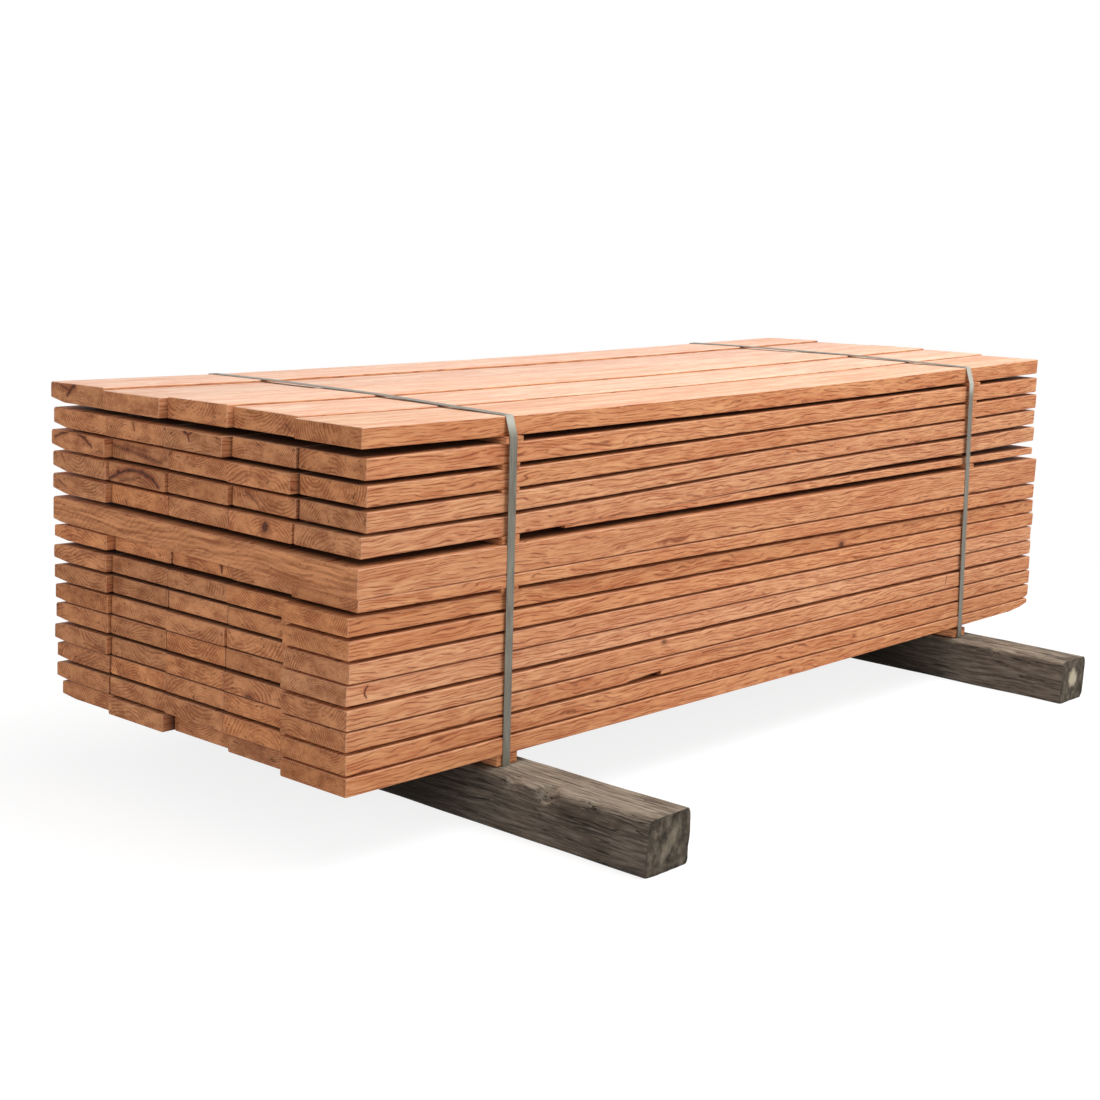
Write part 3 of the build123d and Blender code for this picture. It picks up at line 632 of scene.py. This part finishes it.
def paint_laths(name):
    """Laths, whose grain runs across the stack."""
    low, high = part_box(name)
    material = board_material("wood_" + name, (tuple(low), tuple(high)), 0.0, name, 0.92, ring=9.0,
                              pith=(20.0, -300.0), along="y", end_value=1.12)
    paint(nodes[name], [material])
    add_edges(nodes[name], LATH_ROUND)


for number in COURSES:
    paint_course(number, "boards_course_%02d" % number)
paint_course(THIN_COURSE, "boards_thin_course")
paint_slab()
for name in LATH_NODES:
    paint_laths(name)
steel = strap_material("strap_steel_painted")
for name in ("strap_first", "strap_second"):
    paint(nodes[name], [steel])


# Worn bearers, in metres: points around and along, rounding of the corners and its unevenness,
# depth of the coarse and fine grooves and of the dents, and how far and how deep the ends are rough.
BEARER_AROUND = 96
BEARER_ALONG = 260
CORNER_ROUND = 0.010
CORNER_UNEVEN = 0.003
GROOVE_DEPTH = (0.0022, 0.0011)
DENT_DEPTH = 0.0032
END_ZONE = 0.012
END_ROUGH = 0.004
END_CORNER = 0.003
END_FACE = 0.003
END_FACE_ROUGH = 0.0025
END_RINGS = (0.86, 0.7, 0.5, 0.3, 0.12)
# Where the bearer carries the stack its top stays flat, from this far behind its front end.
FLAT_FROM = 0.4


def round_corner(x, z, width, height, radius):
    """The point of a square section, moved in to a corner of that radius."""
    kx = x - min(max(x, radius), width - radius)
    kz = z - min(max(z, radius), height - radius)
    away = math.hypot(kx, kz)
    if kx != 0 and kz != 0 and away > radius:
        x -= kx * (1 - radius / away)
        z -= kz * (1 - radius / away)
    return x, z


def chip_depth(x, y, z, section, front_y, chips, seed):
    """How far the bites out of the upper left edge go in at a point of the bearer."""
    width, height = section
    depth = 0.0
    for chip_y, chip_reach, deep in chips:
        across = math.hypot((x - 0.1 * width) / 0.028, (z - 0.9 * height) / 0.024)
        far = math.hypot(across, (y - front_y - chip_y) / chip_reach)
        ragged = 1 + 0.5 * noise.noise(Vector((y * 70, z * 60, seed)))
        depth = max(depth, deep * ragged * max(0.0, 1 - far * far))
    return depth


def bearer_ring(bm, t, box, wear_and_highlight, lean, seed, chips):
    """One worn outline of the bearer, at the share t of its length."""
    low, high = box
    width, height, length = high.x - low.x, high.z - low.z, high.y - low.y
    y = low.y + t * length
    end = min(t, 1 - t) * length
    ring = []
    for i in range(BEARER_AROUND):
        angle = 2 * math.pi * (i + 0.5) / BEARER_AROUND
        cx, cz = math.cos(angle), math.sin(angle)
        reach = 1 / max(abs(cx), abs(cz))
        px, pz = cx * reach, cz * reach

        # the upper left corner is the most worn
        radius = CORNER_ROUND + (wear_and_highlight if px < 0 and pz > 0 else 0.0)
        radius += CORNER_UNEVEN * noise.noise(Vector((t * 9 + seed, px * 2, pz * 2)))
        x, z = round_corner((px * 0.5 + 0.5) * width, (pz * 0.5 + 0.5) * height, width, height, radius)
        x += lean * z / height * (1 - x / width)

        # grooves and dents go in, but not where the bearer lies or carries the stack
        where = Vector((x * 60 + seed, y * 3.2, z * 60))
        wear = max(0.0, noise.noise(where)) * GROOVE_DEPTH[0]
        wear += max(0.0, noise.noise(where * 2.3)) * GROOVE_DEPTH[1]
        wear += max(0.0, noise.noise(Vector((px * 1.4 + seed, y * 5, pz * 1.4)))) * DENT_DEPTH
        if pz < -0.97 or (pz > 0.97 and abs(px) < 0.7 and y > low.y + FLAT_FROM):
            wear = 0.0
        wear += chip_depth(x, y, z, (width, height), low.y, chips, seed)
        inward = Vector((0.5 * width - x, 0, 0.5 * height - z)).normalized() * wear

        # the rims of both ends are uneven
        rim_y = y
        if end < END_ZONE:
            rough = 0.5 + 0.5 * noise.noise(Vector((x * 40, seed, z * 40)))
            corner = (abs(px) * abs(pz)) ** 6
            rim_y += (1 if t < 0.5 else -1) * (END_ROUGH * rough + END_CORNER * corner)
        ring.append(bm.verts.new((low.x + x + inward.x, rim_y, low.z + z + inward.z)))
    return ring


def bearer_end(bm, ring, box, seed, at_back):
    """Closes an end with rings towards its middle, on an uneven face."""
    low, high = box
    into = -1 if at_back else 1
    y_end = (high.y if at_back else low.y) + into * END_FACE
    middle = Vector((low.x + (high.x - low.x) / 2, y_end, low.z + (high.z - low.z) / 2))
    previous = ring
    for share in END_RINGS:
        inner = []
        for vert in ring:
            point = middle.lerp(vert.co, share)
            rough = 0.5 + 0.5 * noise.noise(Vector((point.x * 45, seed, point.z * 45)))
            point.y = y_end + into * END_FACE_ROUGH * rough
            inner.append(bm.verts.new(point))
        for i in range(len(ring)):
            k = (i + 1) % len(ring)
            loop = (previous[k], previous[i], inner[i], inner[k])
            bm.faces.new(loop[::-1] if at_back else loop)
        previous = inner
    bm.faces.new(previous if at_back else previous[::-1])


def bearer_piece(name, node, wear_and_highlight, lean, seed, chips, material):
    """A weathered timber inside the CAD bearer's outline.
    chips holds (y from the front end, reach along, depth) for bites out of the upper left edge."""
    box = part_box(node)
    bm = bmesh.new()
    rings = [bearer_ring(bm, j / BEARER_ALONG, box, wear_and_highlight, lean, seed, chips) for j in range(BEARER_ALONG + 1)]
    for a, b in zip(rings, rings[1:]):
        for i in range(BEARER_AROUND):
            k = (i + 1) % BEARER_AROUND
            bm.faces.new((a[i], a[k], b[k], b[i]))
    bearer_end(bm, rings[0], box, seed, at_back=False)
    bearer_end(bm, rings[-1], box, seed, at_back=True)
    bmesh.ops.recalc_face_normals(bm, faces=bm.faces)
    mesh = bpy.data.meshes.new(name)
    bm.to_mesh(mesh)
    bm.free()
    for face in mesh.polygons:
        face.use_smooth = True
    obj = bpy.data.objects.new(name, mesh)
    bpy.context.scene.collection.objects.link(obj)
    obj.data.materials.append(material)
    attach(obj, "root")
    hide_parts(node)
    return obj


# Bites out of the upper left edges, and the middle X and Z of the pale patches on the front ends in mm.
FIRST_CHIPS = ((0.255, 0.03, 0.011), (0.345, 0.022, 0.006), (0.14, 0.02, 0.004))
SECOND_CHIPS = ((0.2, 0.02, 0.003),)
BEARER_LEAN = 0.009
FIRST_PATCH_AT = (438 + OFF_X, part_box("bearer_first")[0].y * TO_MM, 56)
SECOND_PATCH_AT = (2294 + OFF_X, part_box("bearer_second")[0].y * TO_MM, 62)
first_patch = (FIRST_PATCH_AT, (15.0, 40.0, 52.0), -0.6, srgb(150, 138, 120), 0.4)
second_patch = (SECOND_PATCH_AT, (25.0, 40.0, 26.0), 0.3, srgb(196, 184, 160), 0.9)
bearer_piece("bearer_first_worn", "bearer_first", 0.012, BEARER_LEAN, 3.1, FIRST_CHIPS,
             bearer_material("bearer_grey_first", 41, first_patch))
bearer_piece("bearer_second_worn", "bearer_second", 0.004, BEARER_LEAN, 8.7, SECOND_CHIPS,
             bearer_material("bearer_grey_second", 57, second_patch))

# The floor, in metres: half its side, and how far out it turns from white with a shadow to plain white.
FLOOR_REACH = 60
FLOOR_FADE = (1.9, 3.4)
FLOOR_STRETCH = (1.0, 1.4, 0.0)
# Near the stack the camera sees this share of the light on the floor, over this glow.
FLOOR_SHADOW = 0.22
FLOOR_GLOW = 0.84
FLOOR_GREY = 0.8
WORLD_LIGHT = 0.42


def grey(value):
    return (value, value, value, 1)


def glow(g, strength):
    node = g.new("ShaderNodeEmission")
    node.inputs["Color"].default_value = grey(1)
    node.inputs["Strength"].default_value = strength
    return node.outputs[0]


def blend_shaders(g, fac, a, b):
    node = g.new("ShaderNodeMixShader")
    g.feed(node.inputs["Fac"], fac)
    g.feed(node.inputs[1], a)
    g.feed(node.inputs[2], b)
    return node.outputs[0]


def floor_material():
    """White where the camera sees it, with the stack's shadow; matt grey for the light on the stack."""
    g = Graph("floor_pale")
    g.bsdf.inputs["Base Color"].default_value = grey(FLOOR_GREY)
    g.bsdf.inputs["Roughness"].default_value = 0.9
    g.bsdf.inputs["Specular IOR Level"].default_value = 0.1
    path = g.new("ShaderNodeLightPath").outputs
    seen = g.math("MAXIMUM", path["Is Camera Ray"], path["Is Glossy Ray"])
    seen = g.math("MAXIMUM", seen, path["Is Transmission Ray"])
    matt = g.new("ShaderNodeBsdfDiffuse")
    matt.inputs["Color"].default_value = grey(FLOOR_SHADOW)
    lit = g.new("ShaderNodeAddShader")
    g.feed(lit.inputs[0], matt.outputs[0])
    g.feed(lit.inputs[1], glow(g, FLOOR_GLOW))
    away = g.vec("LENGTH", g.vec("MULTIPLY", g.new("ShaderNodeTexCoord").outputs["Object"], FLOOR_STRETCH))
    shown = blend_shaders(g, g.smooth(away, *FLOOR_FADE), lit.outputs[0], glow(g, 1.0))
    surface = g.tree.nodes["Material Output"].inputs["Surface"]
    g.feed(surface, blend_shaders(g, seen, g.bsdf.outputs[0], shown))
    return g.mat


def add_floor():
    mesh = bpy.data.meshes.new("floor")
    corners = [(-1, -1), (1, -1), (1, 1), (-1, 1)]
    mesh.from_pydata([(x * FLOOR_REACH, y * FLOOR_REACH, 0) for x, y in corners], [], [(0, 1, 2, 3)])
    floor = bpy.data.objects.new("floor", mesh)
    bpy.context.scene.collection.objects.link(floor)
    floor.data.materials.append(floor_material())


def add_world():
    """White behind the stack, and a softer even light on it."""
    world = bpy.data.worlds.new("studio")
    bpy.context.scene.world = world
    world.use_nodes = True
    tree = world.node_tree
    tree.nodes.clear()
    path = tree.nodes.new("ShaderNodeLightPath").outputs
    seen = path["Is Camera Ray"]
    for kind in ("Is Glossy Ray", "Is Transmission Ray"):
        either = tree.nodes.new("ShaderNodeMath")
        either.operation = "MAXIMUM"
        tree.links.new(seen, either.inputs[0])
        tree.links.new(path[kind], either.inputs[1])
        seen = either.outputs[0]
    blend = tree.nodes.new("ShaderNodeMixShader")
    tree.links.new(seen, blend.inputs["Fac"])
    for slot, strength in ((1, WORLD_LIGHT), (2, 1.0)):
        sky = tree.nodes.new("ShaderNodeBackground")
        sky.inputs["Color"].default_value = grey(1)
        sky.inputs["Strength"].default_value = strength
        tree.links.new(sky.outputs[0], blend.inputs[slot])
    out = tree.nodes.new("ShaderNodeOutputWorld")
    tree.links.new(blend.outputs[0], out.inputs["Surface"])


# Square lamps: name, place and aim in metres, side in metres, power in watts.
LAMPS = [
    ("key_overhead", (0.9, -1.2, 5.4), (0, 0.1, 0.4), 4.0, 234),
    ("fill_right", (0.6, -6.0, 2.2), (0, 0, 0.4), 3.0, 98),
    ("fill_left", (-6.5, -0.8, 2.2), (0, 0, 0.4), 3.0, 65),
]
SENSOR_MM = 36


def add_lamp(name, where, target, size, power):
    data = bpy.data.lights.new(name, "AREA")
    data.shape = "SQUARE"
    data.size = size
    data.energy = power
    lamp = bpy.data.objects.new(name, data)
    bpy.context.scene.collection.objects.link(lamp)
    lamp.location = where
    lamp.rotation_mode = "QUATERNION"
    lamp.rotation_quaternion = (Vector(target) - Vector(where)).to_track_quat("-Z", "Y")


def add_camera():
    """The camera that was fitted to the photo."""
    data = bpy.data.cameras.new("photo_camera")
    data.sensor_width = SENSOR_MM
    data.lens = FOCAL_PX / PHOTO_PX * SENSOR_MM
    data.clip_start = 0.05
    data.clip_end = 200
    camera = bpy.data.objects.new("photo_camera", data)
    bpy.context.scene.collection.objects.link(camera)
    turn = Matrix((right, up, -look)).transposed().to_4x4()
    camera.matrix_world = Matrix.Translation(place(*CAM_AT)) @ turn
    bpy.context.scene.camera = camera


add_floor()
add_world()
for lamp in LAMPS:
    add_lamp(*lamp)
add_camera()
bpy.context.scene.view_settings.view_transform = "Standard"
